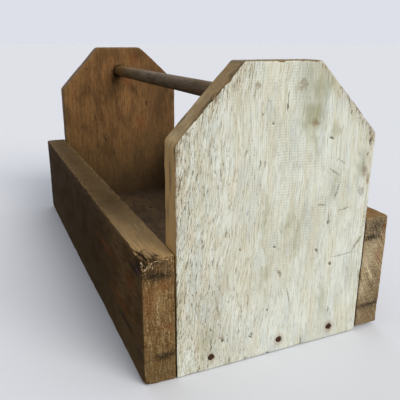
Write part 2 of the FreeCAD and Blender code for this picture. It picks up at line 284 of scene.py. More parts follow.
def barePine(name, plan):
    # bare softwood darkened by age and hands: dull and brown, greyer and rougher where dirt settled
    look = {**commonWood, **plan["look"]}
    material, tree, shader, place = newMaterial(name)
    colour, height, grime = agedWood(tree, place, grown(tree, place), plan)
    rough = (grime, look["rough"], look["rough"] + look["rougherDirt"])
    finish(tree, shader, colour, height, look["relief"], rough)
    shader.inputs["Specular IOR Level"].default_value = look["gloss"]
    return material


def onFace(marks, low, through=4):
    # marks measured on the painted face, from its left edge and its foot, as ovals in the frame
    return [((low[0] + u, low[1], v), (halfU, through, halfV), (0, turn, 0))
            for u, v, halfU, halfV, turn in marks]


def paintThin(tree, place, coat, low, high):
    # how thin the paint is: worn most at the left and along the two sawn shoulders
    toLeft = between(tree, place, 0, *(low[0] + v for v in coat["leftWorn"]))
    toRight = between(tree, place, 0, *(high[0] + v for v in coat["rightWorn"]))
    fromMiddle = put(tree, "SeparateXYZ", {0: place}, "X")
    fromMiddle = put(tree, "Math", {0: fromMiddle, 1: (low[0] + high[0]) / 2}, operation="SUBTRACT")
    fromMiddle = put(tree, "Math", {0: fromMiddle}, operation="ABSOLUTE")
    rise = put(tree, "SeparateXYZ", {0: place}, "Z")
    rise = put(tree, "Math", {0: rise, 1: coat["shoulderSlope"]}, operation="MULTIPLY")
    rise = put(tree, "Math", {0: fromMiddle, 1: rise}, operation="ADD")
    start, end = coat["shoulderWorn"]
    toShoulders = put(tree, "MapRange", {"Value": rise, 1: start, 2: end}, **softStep)
    patchy = specks(tree, place, *coat["patchy"])
    toShoulders = put(tree, "Math", {0: toShoulders, 1: coat["shoulderShare"]}, operation="MULTIPLY")
    thin = put(tree, "Math", {0: toLeft, 1: toShoulders}, operation="MAXIMUM")
    thin = put(tree, "Math", {0: toRight, 1: coat["rightShare"], 2: thin}, operation="MULTIPLY_ADD")
    return put(tree, "Math", {0: patchy, 1: coat["patchShare"], 2: thin}, operation="MULTIPLY_ADD"), patchy


def paintColour(tree, place, bent, plan):
    # the coat's colour, its cracks, and the noise that eats into its rim
    tones, coat, (low, high) = plan["paint"], plan["coat"], boxOf(plan["node"])
    # the grain leans a little and closes up towards the top
    closing = put(tree, "SeparateXYZ", {0: bent}, "Z")
    closing = put(tree, "Math", {0: closing, 1: 1 / coat["closesOver"], 2: 1.0}, operation="MULTIPLY_ADD")
    closing = put(tree, "CombineXYZ", {0: closing, 1: 1.0, 2: 1.0})
    leaning = put(tree, "VectorMath", {0: bent, 1: closing}, operation="MULTIPLY")
    lean = (0, math.radians(coat["leans"]), 0)
    leaning = put(tree, "Mapping", {"Vector": leaning, "Rotation": lean})
    thin, patchy = paintThin(tree, place, coat, low, high)
    fibre, fineFibre, crack, fineCrack = [
        specks(tree, leaning, *kind, (thin, more)) for *kind, more in coat["showingThrough"]]
    sawn = {"Vector": bent, "Scale": waveUnit / coat["sawGap"], "Distortion": 3.0, "Detail Scale": 0.3}
    sawLines = put(tree, "TexWave", sawn, bands_direction="Z")
    # marks torn along the fibres: knocks and holes, brown rubbed places, dull stains
    near = ragged(tree, place, *coat["smallTears"])
    bite = put(tree, "TexNoise", {"Vector": place, "Scale": 1 / coat["biteSize"], "Detail": 4.0})
    speckle = put(tree, "MapRange", {"Value": bite, 1: 0.36, 2: 0.64}, **softStep)
    far = ragged(tree, place, *coat["wideTears"])
    dark = ovals(tree, near, onFace(plan["darkMarks"], low), 0.35)
    brown = ovals(tree, near, onFace(plan["brownMarks"], low), 0.7, speckle)
    scratch = ovals(tree, near, onFace(plan["scratches"], low), 0.5, fineFibre)
    stain = ovals(tree, far, onFace(plan["stains"], low), 0.9)
    moss = ovals(tree, far, onFace(plan["mossMarks"], low), 0.9)
    heads = headsIn(*plan["nails"])
    rust = ovals(tree, near, [(head, coat["rustSize"]) for head in heads], 0.2)
    halo = ovals(tree, near, [(head, coat["haloSize"]) for head in heads], 0.6, fineFibre)
    colour = coats(tree, linear(tones["base"]), [
        (tones["warm"], specks(tree, leaning, *coat["warm"]), 0.6),
        (tones["cool"], specks(tree, leaning, *coat["cool"]), 0.7),
        (tones["beige"], specks(tree, place, *coat["beige"]), thin, 0.45),
        (tones["pale"], specks(tree, leaning, *coat["pale"]), 0.5),
        (tones["fibre"], fibre, 0.35),
        (tones["fibre"], fineFibre, 0.6),
        (tones["saw"], sawLines, patchy, 0.5),
        (tones["stain"], stain, 0.4),
        (tones["moss"], moss, 0.36),
        (tones["brown"], brown, 0.58),
        (tones["rust"], halo, 0.45),
        (tones["crack"], crack, 0.75),
        (tones["crack"], fineCrack, 0.7),
        (tones["scratch"], scratch, 0.6),
        (tones["knock"], dark, 0.72),
        (tones["nail"], rust, 0.9),
    ])
    return colour, crack, bite


def creamPaintOnPine(plan):
    # one thin coat of cream house paint on pine, worn: chalky and matt, and grey fibres and drying cracks
    # show through it; the sawn edges and the inner face are bare wood
    coat = plan["coat"]
    material, tree, shader, place = newMaterial("creamPaintOnPine")
    bent = grown(tree, place)
    wood, woodHeight, _ = agedWood(tree, place, bent, plan)
    paint, crack, bite = paintColour(tree, place, bent, plan)
    # the paint lies on the outer face only and is gone from parts of its rim, least beside the side boards
    edge = put(tree, "Attribute", out="Fac", attribute_name="edge")
    reach = specks(tree, place, *coat["chips"])
    uncovered = between(tree, place, 2, *coat["coveredUpTo"])
    free, covered = coat["chipsFree"], coat["chipsCovered"]
    uncovered = put(tree, "Math", {0: uncovered, 1: free, 2: covered}, operation="MULTIPLY_ADD")
    edge = put(tree, "Math", {0: bite, 1: coat["biteShare"], 2: edge}, operation="MULTIPLY_ADD")
    edge = put(tree, "Math", {0: reach, 1: uncovered, 2: edge}, operation="MULTIPLY_ADD")
    gone, kept = coat["gone"], coat["kept"]
    whole = put(tree, "MapRange", {"Value": edge, 1: gone, 2: kept}, **softStep)
    painted = put(tree, "Math", {0: facing(tree, (0, -1, 0), 0.62, 0.85), 1: whole}, operation="MULTIPLY")
    height = put(tree, "Math", {0: crack, 1: coat["crackRise"], 2: woodHeight}, operation="MULTIPLY_ADD")
    height = put(tree, "Math", {0: painted, 1: coat["paintRise"], 2: height}, operation="MULTIPLY_ADD")
    rough = (painted, coat["woodRough"], coat["paintRough"])
    finish(tree, shader, coats(tree, wood, [(paint, painted)]), height, coat["relief"], rough)
    shader.inputs["Specular IOR Level"].default_value = coat["gloss"]
    return material


# sizes in mm, tones, and how they show
steelLook = dict(
    flakeSize=0.9, pitSize=0.55, brown="#35241a", orange="#74492a", orangeShows=0.8, grey="#453d37",
    greyShows=0.6, pitShare=0.6, relief=0.12, rough=0.7, metallic=0.1, gloss=0.15,
)


def rustedSteel(look):
    # old wire nails: brown-black rust, pitted and dull, with a little grey steel left on the high spots
    material, tree, shader, place = newMaterial("rustedSteel")
    flakes = {"Vector": place, "Scale": 1 / look["flakeSize"], "Detail": 4.0, "Roughness": 0.65}
    scale = put(tree, "TexNoise", flakes)
    pits = put(tree, "TexVoronoi", {"Vector": place, "Scale": 1 / look["pitSize"]}, "Distance")
    orange = put(tree, "MapRange", {"Value": scale, 1: 0.5, 2: 0.68}, **softStep)
    grey = put(tree, "MapRange", {"Value": scale, 1: 0.36, 2: 0.28}, **softStep)
    colour = coats(tree, linear(look["brown"]), [
        (look["orange"], orange, look["orangeShows"]),
        (look["grey"], grey, look["greyShows"]),
    ])
    height = put(tree, "Math", {0: pits, 1: look["pitShare"], 2: scale}, operation="MULTIPLY_ADD")
    finish(tree, shader, colour, height, look["relief"], look["rough"])
    shader.inputs["Metallic"].default_value = look["metallic"]
    shader.inputs["Specular IOR Level"].default_value = look["gloss"]
    return material


def boxOf(node):
    # the low and the high corner of a node's box, in millimetres
    low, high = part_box(node)
    return np.array(low) / mm, np.array(high) / mm


# which way each group's nail heads look
nailGroups = {
    "painted_end_floor_nails": (0, -1, 0),
    "bare_end_floor_nails": (0, 1, 0),
    "painted_left_corner_nails": (-1, 0, 0),
    "bare_left_corner_nails": (-1, 0, 0),
    "left_floor_nails": (-1, 0, 0),
    "painted_right_corner_nails": (1, 0, 0),
    "bare_right_corner_nails": (1, 0, 0),
    "right_floor_nails": (1, 0, 0),
}

leastApart = 6  # nails of one group stand further apart than this, across their shanks


def nailHeads(node, outward):
    # middle of each head's face, from the node's own mesh
    points = np.array([v.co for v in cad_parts[node].data.vertices]) / mm
    axis = int(np.argmax(np.abs(outward)))
    heads = []
    while len(points):
        across = np.delete(points - points[0], axis, axis=1)
        one = np.hypot(*across.T) < leastApart
        middle = (points[one].min(0) + points[one].max(0)) / 2
        middle[axis] = (points[one] * outward).sum(1).max() * outward[axis]
        heads.append(middle)
        points = points[~one]
    return heads


allHeads = {node: nailHeads(node, outward) for node, outward in nailGroups.items()}
print("nails found:", sum(len(heads) for heads in allHeads.values()))


def headsIn(*nodes):
    # the nail heads of these groups
    return [head for node in nodes for head in allHeads[node]]


# lattice lines near each edge of a board, in from it, where the edge is worn round
edgeLines = (0.0, 0.4, 0.9, 1.6)
edgeBand, leastGap = 2.6, 0.1


def axisLines(low, high, step, fine=()):
    # lattice lines along one axis: even in the middle, closer at both edges and in each fine stretch
    count = max(2, round((high - low - 2 * edgeBand) / step) + 1)
    lines = list(np.linspace(low + edgeBand, high - edgeBand, count))
    lines += [low + v for v in edgeLines] + [high - v for v in edgeLines]
    for start, end, small in fine:
        start, end = max(start, low), min(end, high)
        lines = [v for v in lines if v <= start or v >= end]
        lines += list(np.linspace(start, end, round((end - start) / small) + 1))
    lines = np.unique(np.round(lines, 3))
    return lines[np.append(True, np.diff(lines) > leastGap)]


def latticeSkin(xs, ys, zs):
    # points and quads of the skin of a box lattice, all facing out
    number = np.full((len(xs), len(ys), len(zs)), -1)
    skin = np.zeros(number.shape, bool)
    skin[[0, -1]] = skin[:, [0, -1]] = skin[:, :, [0, -1]] = True
    number[skin] = np.arange(skin.sum())
    i, j, k = np.nonzero(skin)
    quads = []
    for side, turned in ((number[0], 1), (number[-1], 0), (number[:, 0], 0), (number[:, -1], 1),
                         (number[:, :, 0], 1), (number[:, :, -1], 0)):
        quad = np.stack([side[:-1, :-1], side[1:, :-1], side[1:, 1:], side[:-1, 1:]], -1).reshape(-1, 4)
        quads.append(quad[:, ::-1] if turned else quad)
    return np.stack([xs[i], ys[j], zs[k]], 1), np.concatenate(quads)


def noiseAt(points, size, seed=0.0):
    # smooth noise from 0 to 1 at each point; size is how long its bumps are along x, y and z
    scaled = points / np.array(size) + seed
    return np.clip([noise.noise(Vector(p)) * 0.75 + 0.5 for p in scaled], 0, 1)


def step01(value, start, end):
    # rises smoothly from 0 at start to 1 at end
    t = np.clip((value - start) / (end - start), 0, 1)
    return t * t * (3 - 2 * t)


def meshObject(name, points, quads, edge=None):
    # a smooth shaded object from points in millimetres; edge says how near a sawn edge each point lies
    mesh = bpy.data.meshes.new(name)
    mesh.from_pydata((np.asarray(points) * mm).tolist(), [], [list(q) for q in quads])
    mesh.polygons.foreach_set("use_smooth", [True] * len(mesh.polygons))
    if edge is not None:
        mesh.attributes.new("edge", "FLOAT", "POINT").data.foreach_set("value", edge.astype(np.float32))
    mesh.update()
    piece = bpy.data.objects.new(name, mesh)
    bpy.context.scene.collection.objects.link(piece)
    return piece


def standsFor(piece, body, node, material):
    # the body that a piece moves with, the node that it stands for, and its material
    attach(piece, body)
    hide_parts(node)
    piece.data.materials.clear()
    piece.data.materials.append(material)


# how far the visible holes at the nail heads go in, so that each head lies a little below the wood
headDip = dict(radius=2.15, depth=0.9, through=3.0, reach=3.4, step=0.45)

# how boards wear: sizes of hollows, ridges, rounded edges, torn rims and splinters, all in mm, and how far
# the noise is drawn out along the grain
wear = dict(
    hollow=38, ridge=2.6, rounding=11, rim=1.5, splinter=3.1, fineSplinter=1.0, drawnOut=9.0,
    # shares: how ragged a dent's rim is, where it ends and where its floor begins, in its own half sizes,
    # and the least softness of an edge and what noise adds to it
    rimRagged=0.3, rimEnds=1.2, floorBegins=0.7, leastSoft=0.45, moreSoft=1.3,
    # rounds of drawing the points in, and the least squared slope that counts in them
    rounds=5, leastSlope=0.2,
)


def sawShoulders(points, low, high, shoulders):
    # draws the points down under the two sawn top corners and gives the planes of the cuts
    # shoulders: how far across and how far down each cut goes, left and right
    (leftAcross, leftDown), (rightAcross, rightDown) = shoulders
    fromLeft, fromRight = points[:, 0] - low[0], high[0] - points[:, 0]
    drop = np.minimum(fromLeft / leftAcross - 1, 0) * leftDown
    drop += np.minimum(fromRight / rightAcross - 1, 0) * rightDown
    points[:, 2] = low[2] + (points[:, 2] - low[2]) * (1 + drop / (high[2] - low[2]))
    return [((-leftDown, 0, leftAcross), (low[0] + leftAcross, 0, high[2])),
            ((rightDown, 0, rightAcross), (high[0] - rightAcross, 0, high[2]))]


def sinkOf(start, plan, heads, drawn):
    # how far each point sinks below the sawn face: hollows, ridges of the grain, nail dips and dents
    sink = plan["hollow"] * noiseAt(start, wear["hollow"] * drawn ** 0.5, 3.1)
    sink += plan["ridge"] * noiseAt(start, wear["ridge"] * drawn, 7.7)
    dip = sizeAlong(plan["nailAxis"], headDip["radius"], headDip["through"])
    for place, half, depth in [(head, dip, headDip["depth"]) for head in heads] + plan.get("dents", []):
        away = np.linalg.norm((start - place) / half, axis=1)
        near = away < 2
        if near.any():
            away[near] += wear["rimRagged"] * (noiseAt(start[near], (wear["rim"],) * 3, 5.5) - 0.5)
        sink += depth * step01(away, wear["rimEnds"], wear["floorBegins"])
    return sink


def wearRound(points, normals, planes, sink, soft, torn):
    # draws the points onto one smooth skin just inside all the planes, its edges this soft
    for _ in range(wear["rounds"]):
        gaps = points @ normals.T - planes + torn
        level, slope = gaps[:, 0].copy(), np.tile(normals[0], (len(points), 1))
        for column in range(1, len(normals)):
            share = np.clip(0.5 + 0.5 * (gaps[:, column] - level) / soft, 0, 1)
            level = level + (gaps[:, column] - level) * share + soft * share * (1 - share)
            slope = slope * (1 - share)[:, None] + normals[column] * share[:, None]
        steepness = np.maximum((slope ** 2).sum(1), wear["leastSlope"])
        points -= slope * ((level + sink) / steepness)[:, None]


def makeBoard(name, plan):
    # a board as a fine lattice, its edges worn round and its faces hollowed, never outside the sawn size
    low, high = boxOf(plan["node"])
    heads = headsIn(*plan["nails"])
    fine = {axis: list(plan.get("fine", {}).get(axis, ())) for axis in range(3)}
    reach = headDip["reach"]
    for axis in {0, 1, 2} - {plan["nailAxis"]}:
        fine[axis] += [(h[axis] - reach, h[axis] + reach, headDip["step"]) for h in heads]
    lines = [axisLines(low[a], high[a], plan["step"][a], fine[a]) for a in range(3)]
    points, quads = latticeSkin(*lines)
    flats = [((-1, 0, 0), low), ((1, 0, 0), high), ((0, -1, 0), low),
             ((0, 1, 0), high), ((0, 0, -1), low), ((0, 0, 1), high)]
    if "shoulders" in plan:
        flats += sawShoulders(points, low, high, plan["shoulders"])
    sawn = len(flats)
    flats += plan.get("breaks", [])
    normals = np.array([n for n, _ in flats], float)
    normals /= np.linalg.norm(normals, axis=1)[:, None]
    planes = (normals * np.array([p for _, p in flats], float)).sum(1)
    start = points.copy()
    edge = np.exp(np.sort((start @ normals.T - planes)[:, :sawn], 1)[:, -2] / plan["edgeFade"])
    drawn = np.array(sizeAlong(plan["grain"], 1.0, wear["drawnOut"]))
    sink = sinkOf(start, plan, heads, drawn)
    softness = wear["leastSoft"] + wear["moreSoft"] * noiseAt(start, (wear["rounding"],) * 3, 1.3)
    soft = plan["edgeWear"] * softness
    for place, half, amount in plan.get("rounder", ()):
        soft += amount * step01(np.linalg.norm((start - place) / half, axis=1), 1.0, 0.4)
    torn = np.zeros((len(start), len(normals)))
    if len(normals) > sawn:
        splinter = noiseAt(start, wear["splinter"] * drawn ** 0.6, 2.2)
        splinter = splinter + 0.5 * noiseAt(start, wear["fineSplinter"] * drawn ** 0.8, 6.6) - 0.75
        torn[:, sawn:] = (plan["tear"] * splinter)[:, None]
    wearRound(points, normals, planes, sink, soft, torn)
    print(name + ":", len(quads), "faces")
    return meshObject(name, np.clip(points, low, high), quads, edge)


# the handle's blind sockets: their depth, and how the mouth of each is flared and chipped
socketPlan = dict(
    depth=11.9, around=56, overrun=2.0, flare=0.4, throat=0.05, throatAt=0.4, chips=0.3, chipRate=2.2,
)


def tubeFaces(around, rows, flipped):
    # the wall and the two ends of a tube made of rings of points, one ring after another
    last = (rows - 1) * around
    faces = [(a + i, a + (i + 1) % around, a + around + (i + 1) % around, a + around + i)
             for a in range(0, last, around) for i in range(around)]
    faces += [tuple(range(around))[::-1], tuple(range(last, last + around))]
    return [face[::-1] for face in faces] if flipped else faces


def boreSocket(piece, middle, radius, mouth, bottom):
    # the handle's blind socket, its mouth a little chipped
    plan = socketPlan
    away = math.copysign(plan["overrun"], mouth - bottom)
    flared = radius + plan["flare"]
    throat = mouth - away * plan["throatAt"]
    rings = ((mouth + away, flared), (mouth, flared), (throat, radius + plan["throat"]), (bottom, radius))
    points = []
    for ring, (y, r) in enumerate(rings):
        for i in range(plan["around"]):
            a = 2 * math.pi * i / plan["around"]
            onRim = Vector((math.cos(a) * plan["chipRate"], math.sin(a) * plan["chipRate"], mouth))
            chip = plan["chips"] * noise.noise(onRim) if ring < 2 else 0
            points.append((middle[0] + math.cos(a) * (r + chip), y, middle[1] + math.sin(a) * (r + chip)))
    cutter = meshObject("cutter", points, tubeFaces(plan["around"], len(rings), bottom > mouth))
    cut = piece.modifiers.new("socket", "BOOLEAN")
    cut.operation, cut.solver, cut.object = "DIFFERENCE", "EXACT", cutter
    applyModifiers(piece)
    bpy.data.objects.remove(cutter)


def applyModifiers(piece):
    # makes what the modifiers give the piece's own mesh
    graph = bpy.context.evaluated_depsgraph_get()
    mesh = bpy.data.meshes.new_from_object(piece.evaluated_get(graph), depsgraph=graph)
    piece.modifiers.clear()
    piece.data = mesh


boxBody, handleBody = "box", "handle"
paintedLow, paintedHigh = boxOf("painted_end_board")
bareLow, _ = boxOf("bare_end_board")
leftLow, leftHigh = boxOf("left_side_board")
rightLow, rightHigh = boxOf("right_side_board")

# round bar between the end boards, let into a blind socket in each
handlePlan = dict(
    node="handle_dowel", grain=1, nails=(), middle=(-1.2, 164.5), radius=6.35, halfLength=182.0,
    around=64, step=1.8, shy=0.02, worn=0.16, uneven=0.3, chamfer=1.0, edgeFade=1.5,
    # out of round: share, how close bumps lie round it, how long they are in mm, and a shift of the noise
    bumps=((0.5, 0.9, 60, 0), (0.22, 3.2, 25, 7)),
    # rubbed by hands: dull grey brown, smoother than the boards
    look=dict(
        pith=(-1.2, 0, 190), ringGap=1.9, ringBend=1.4, ringShows=0.45,
        earlyWood="#6b573b", lateWood="#4b3a26", broadTone="#5c472d", fibre="#3d2e1c",
        grime="#392c20", pore="#241b13", pale="#84725a", rim="#75634a",
        rough=0.62, gloss=0.07, paleShows=0.35,
        # tones: a painted sheen grey on the top, painted shade on the underside, warm halves, dark at the
        # bare end's socket
        faces=[((0, 0, 1), "#706047", 0.4), ((0, 0, -1), "#301f11", 0.8)],
        fades=[("#70491f", 0.6, 1, -50, -180), ("#7a5a30", 0.45, 1, 55, 165), ("#33261a", 0.3, 1, 160, 174)],
    ),
)

# the end nearest the camera: pine with one coat of cream paint on its outer face, worn thin
paintedPlan = dict(
    node="painted_end_board", grain=2, step=(0.88, 1.5, 0.88), nails=("painted_end_floor_nails",), nailAxis=1,
    shoulders=((41, 42.5), (46, 45)), socketRadius=6.42,
    edgeWear=0.9, edgeFade=1.6, hollow=0.28, ridge=0.12,
    rounder=[((paintedLow[0], paintedLow[1] + 6, 147), (6, 9, 6), 1.3)],
    paint=dict(
        base="#e9f0e8", warm="#dbd9c0", cool="#d3dcd9", beige="#d9c9ab", pale="#f0f2ea", fibre="#b5ae92",
        saw="#c6c8b8", stain="#94946a", moss="#84844e", brown="#765423", rust="#a27a52", crack="#66502f",
        knock="#463a2c", scratch="#6b6043", nail="#3a2819",
    ),
    coat=dict(
        # where the paint is worn, from where to where: in from each edge, and up to the sawn shoulders
        leftWorn=(88, -6), rightWorn=(-16, -1), shoulderWorn=(199, 219), shoulderSlope=1.03,
        shoulderShare=1.15, rightShare=0.45, patchShare=0.2, coveredUpTo=(80, 88),
        # patches: size, from where to where in the noise, seed
        patchy=((18, 18, 40), 0.4, 0.65, 11.0), chips=((10, 10, 17), 0.46, 0.66, 8.0),
        warm=((7, 7, 60), 0.42, 0.66, 3.0), cool=((11, 11, 30), 0.48, 0.7, 41.0),
        beige=((9, 9, 16), 0.45, 0.68, 47.0), pale=((1.1, 1.1, 18), 0.52, 0.68, 31.0),
        # fibres, fine fibres, cracks and fine cracks: the same, and how many more show where it is thin
        showingThrough=(((1.2, 1.2, 30), 0.5, 0.68, 2.0, 0.05), ((0.7, 0.7, 9), 0.57, 0.7, 5.0, 0.1),
                        ((0.8, 0.8, 7), 0.74, 0.79, 17.0, 0.125), ((0.7, 0.7, 3.2), 0.755, 0.8, 23.0, 0.13)),
        # the grain's lean in degrees, the height over which it closes up, and gaps between saw lines
        leans=-3, closesOver=600, sawGap=1.7,
        # how the rim of the coat is eaten away: shares that add to the edge's wear, from which sum on the
        # paint is gone and up to which it is kept
        biteSize=2.2, biteShare=0.8, chipsFree=0.26, chipsCovered=0.1, gone=1.36, kept=1.22,
        smallTears=((1.8, 1.8, 2.8), 3.0), wideTears=((4.5, 4.5, 9), 12.0),
        rustSize=(2.2, 4, 2.2), haloSize=(3.6, 4, 4.6),
        crackRise=-0.9, paintRise=0.9, relief=0.16, woodRough=0.78, paintRough=0.62, gloss=0.14,
    ),
    # its bare wood: yellow brown, dark and open on the two sawn shoulders, the left one darker still with
    # painted shade
    look=dict(
        pith=(30, -260, 0), ringGap=3.2, ringBend=2.5, ringShows=0.45,
        earlyWood="#94744a", lateWood="#6b4d2c", broadTone="#8a693d", fibre="#5f4629",
        grime="#5b4a35", pore="#3c2d1e", pale="#bba479", rim="#87704c",
        ends=dict(base="#7a6340", dark="#362918", pale="#c9b488", rays=(9, 1.3, 9), fleck=1.6, rayShows=0.5),
        # painted shade darkens the left sawn shoulder, painted light brightens the left edge, and the top
        # edge is greyer
        faces=[((-0.72, 0, 0.7), "#4a2f12", 0.3), ((-1, 0, 0), "#ffd48e", 0.57),
               ((0, 0, 1), "#8d8670", 0.55)],
        marks=[
            # pale torn fibres on the sawn shoulder
            ("#f4e2b8", 0.28, 0.6, [
                ((-66, -180, 149), (6, 9, 3.4), (0, -44, 0)), ((-57, -176, 158), (6, 5, 2.4), (0, -44, 0)),
                ((-61, -184, 154), (6, 1.6, 2), (0, -44, 0)), ((-48, -174, 168), (6, 2.4, 2), (0, -44, 0)),
            ]),
            # brown streaks down the left edge
            ("#6f5636", 0.6, 0.6, [((-68.7, -180, 128), (2, 2.5, 12)), ((-68.7, -176, 105), (2, 2, 10))]),
            # dark on the left shoulder, most of it at the rim
            ("#2b2117", 0.85, 0.6, [
                ((-47, -186, 167), (12, 2.6, 2.5), (0, -44, 0)), ((-31, -186, 184), (7, 3, 2), (0, -44, 0)),
                ((-67, -186.5, 143), (2, 1.4, 5)), ((-58, -173, 157), (4, 2, 1.4), (0, -44, 0)),
            ]),
        ],
        # painted shade in the gaps beside the two side boards
        seams=[((paintedLow[0], paintedLow[1], 20), (0.6, 1.6, 66)),
               ((paintedHigh[0], paintedLow[1], 20), (0.6, 1.6, 68))],
    ),
    # marks on the painted face, from its left edge and up from its foot: middle, half sizes, turn
    darkMarks=[
        (62.9, 33.9, 0.7, 0.9, 0), (66.0, 77.4, 0.8, 0.9, 0), (110.2, 57.8, 1.0, 1.1, 0),
        (98.5, 69.6, 1.4, 0.9, 30), (105.7, 87.9, 1.0, 1.4, 0), (102.9, 143.2, 1.5, 0.8, 20),
        (69.6, 163.9, 0.6, 2.2, 0), (53.6, 160.3, 0.6, 0.8, 0), (60.7, 154.6, 0.8, 0.6, 0),
        (133.6, 138.9, 0.9, 2.3, 0), (132.6, 131.0, 0.6, 0.9, 0), (51.6, 16.6, 2.0, 0.7, 50),
        (52.4, 18.6, 1.5, 0.6, 50), (23.3, 16.8, 0.4, 4.2, 0), (91.4, 3.4, 0.35, 4.6, 2),
        (47.9, 0.8, 0.6, 1.8, 0), (64.6, 0.5, 1.1, 1.0, 0), (22.9, 29.0, 0.4, 1.3, 0),
        (41.6, 79.8, 0.8, 0.7, 0), (31.0, 19.0, 0.8, 1.2, -32),
    ],
    scratches=[
        (105.8, 92.6, 0.4, 3.4, 0), (53.0, 131.2, 0.5, 3.2, 14), (56.4, 131.6, 0.5, 2.8, 14),
        (43.6, 138.9, 0.6, 2.4, 10), (69.9, 167.5, 0.4, 6.0, 3), (110.8, 108.5, 0.7, 6.0, 20),
        (107.5, 121.6, 5.0, 0.5, 32), (113.0, 127.5, 2.2, 0.5, 40), (109.5, 129.5, 1.8, 0.4, -35),
        (125.7, 51.3, 0.5, 1.8, 0), (132.0, 70.0, 0.8, 6.0, 38), (112.2, 23.0, 0.5, 2.6, 0),
        (117.5, 95.8, 5.0, 0.4, -10), (121.0, 63.0, 10.0, 0.35, -3), (48.5, 45.0, 0.5, 4.5, 0),
        (102.5, 182.0, 0.6, 4.2, -4), (38.2, 54.0, 0.5, 1.6, 0), (78.5, 41.0, 0.5, 5.0, -14),
        (100.0, 100.5, 3.0, 0.5, 8),
    ],
    brownMarks=[
        (50.3, 176.5, 2.4, 1.8, 20), (79.4, 176.4, 3.2, 4.0, 0), (90.6, 153.4, 4.2, 2.4, 0),
        (70.7, 58.4, 1.4, 3.4, -20), (131.6, 120.5, 2.4, 4.6, 0), (134.8, 113.0, 1.4, 5.5, 0),
        (130.4, 106.8, 2.6, 3.4, 0), (0.4, 141.0, 2.4, 8.0, 0), (0.2, 122.0, 2.2, 12.0, 0),
        (0.6, 99.0, 1.8, 10.0, 0), (136.6, 44.5, 1.0, 6.0, 0), (136.6, 88.0, 1.2, 9.0, 0),
        (43.7, 36.5, 0.8, 6.5, 0), (30.4, 20.8, 1.7, 3.0, -20), (28.0, 125.5, 0.9, 4.0, 0),
        (7.4, 151.0, 3.4, 1.6, -44), (24.0, 168.6, 4.0, 1.4, -44), (134.4, 141.0, 1.5, 5.0, 0),
    ],
    mossMarks=[(88.0, 157.5, 7.0, 8.5, 0), (93.0, 173.0, 4.5, 6.0, 0)],
    stains=[
        (87.0, 158.0, 8.5, 11.0, 0), (86.0, 176.0, 9.0, 14.0, 0), (98.0, 179.0, 8.0, 9.0, 0),
        (105.6, 31.5, 2.4, 11.0, -4), (83.0, 83.0, 2.6, 12.0, 12), (75.0, 93.0, 4.0, 8.0, 10),
        (57.5, 99.0, 2.0, 12.0, 4), (106.0, 148.0, 3.0, 5.0, 0), (20.5, 22.0, 5.0, 8.0, 0),
        (108.0, 112.0, 2.6, 9.0, 20), (60.0, 57.0, 2.4, 7.0, 10), (122.0, 168.0, 4.0, 10.0, -40),
        (129.0, 126.0, 3.0, 9.0, 0), (91.0, 142.0, 2.0, 12.0, -14),
    ],
)
# the wider dark marks are dents too
dentPlan = dict(leastHalfWidth=0.8, through=3, depth=0.5)
wideMarks = [mark for mark in paintedPlan["darkMarks"] if mark[2] >= dentPlan["leastHalfWidth"]]
paintedPlan["dents"] = [(middle, half, dentPlan["depth"])
                        for middle, half, _ in onFace(wideMarks, paintedLow, dentPlan["through"])]
paintedBoard = makeBoard("paintedEndBoard", paintedPlan)
boreSocket(paintedBoard, handlePlan["middle"], paintedPlan["socketRadius"],
           paintedHigh[1], paintedHigh[1] - socketPlan["depth"])
standsFor(paintedBoard, boxBody, paintedPlan["node"], creamPaintOnPine(paintedPlan))

# the far end: the same board left bare, with a looser socket a little off the handle's middle, painted shade
# round its rim
barePlan = dict(
    node="bare_end_board", grain=2, step=(1.3, 1.5, 1.3), nails=("bare_end_floor_nails",), nailAxis=1,
    shoulders=((43, 47), (44, 40)), socketRadius=6.85, socketOff=(-0.35, -0.3),
    edgeWear=1.6, edgeFade=2.0, hollow=0.3, ridge=0.1,
    # never painted: warm brown, darker down towards the tray with painted shade, and darker to the right with
    # the painted board's painted shadow
    look=dict(
        pith=(20, 250, 0), ringGap=3.6, ringBend=3.0, ringShows=0.4,
        earlyWood="#856139", lateWood="#624327", broadTone="#72502e", fibre="#553d26",
        grime="#4b3823", pore="#2d2016", pale="#a08660", rim="#8d7350", fibreShows=0.5,
        ends=dict(base="#6b5138", dark="#46331f", pale="#927654", rays=(30, 1.1, 30)),
        # painted shade darker down towards the tray, and the painted board's painted shadow darker towards
        # the right
        fades=[("#46381f", 0.45, 2, 125, 60), ("#33281c", 0.75, 2, 78, 14), ("#3a2c1c", 0.4, 0, 6, 52)],
        marks=[
            # reddish rubbed places
            ("#743f1f", 0.5, 0.8, [
                ((17, 170, 178), (4.5, 6, 7)), ((23, 170, 102), (5, 6, 9)),
                ((8, 170, 151), (5, 6, 8), (0, -20, 0)),
            ]),
            # painted shade round the socket's mouth, and the handle's painted shadow below it
            ("#2c1c10", 0.6, 0.8, [
                ((-2.5, 170, 162), (9.5, 4, 9.0)), ((14, 170, 143), (5, 6, 8), (0, -20, 0)),
            ]),
            # dark streaks along the grain
            ("#241a12", 0.85, 0.5, [
                ((-23, 170, 85), (1.0, 6, 6), (0, -25, 0)), ((-33, 170, 110), (0.9, 6, 5)),
                ((-12, 170, 66), (0.8, 6, 5), (0, -12, 0)), ((31, 170, 125), (0.8, 6, 4)),
            ]),
        ],
    ),
)
bareBoard = makeBoard("bareEndBoard", barePlan)
socketMiddle = [handlePlan["middle"][i] + barePlan["socketOff"][i] for i in range(2)]
boreSocket(bareBoard, socketMiddle, barePlan["socketRadius"], bareLow[1], bareLow[1] + socketPlan["depth"])
standsFor(bareBoard, boxBody, barePlan["node"], barePine("agedBarePine", barePlan))

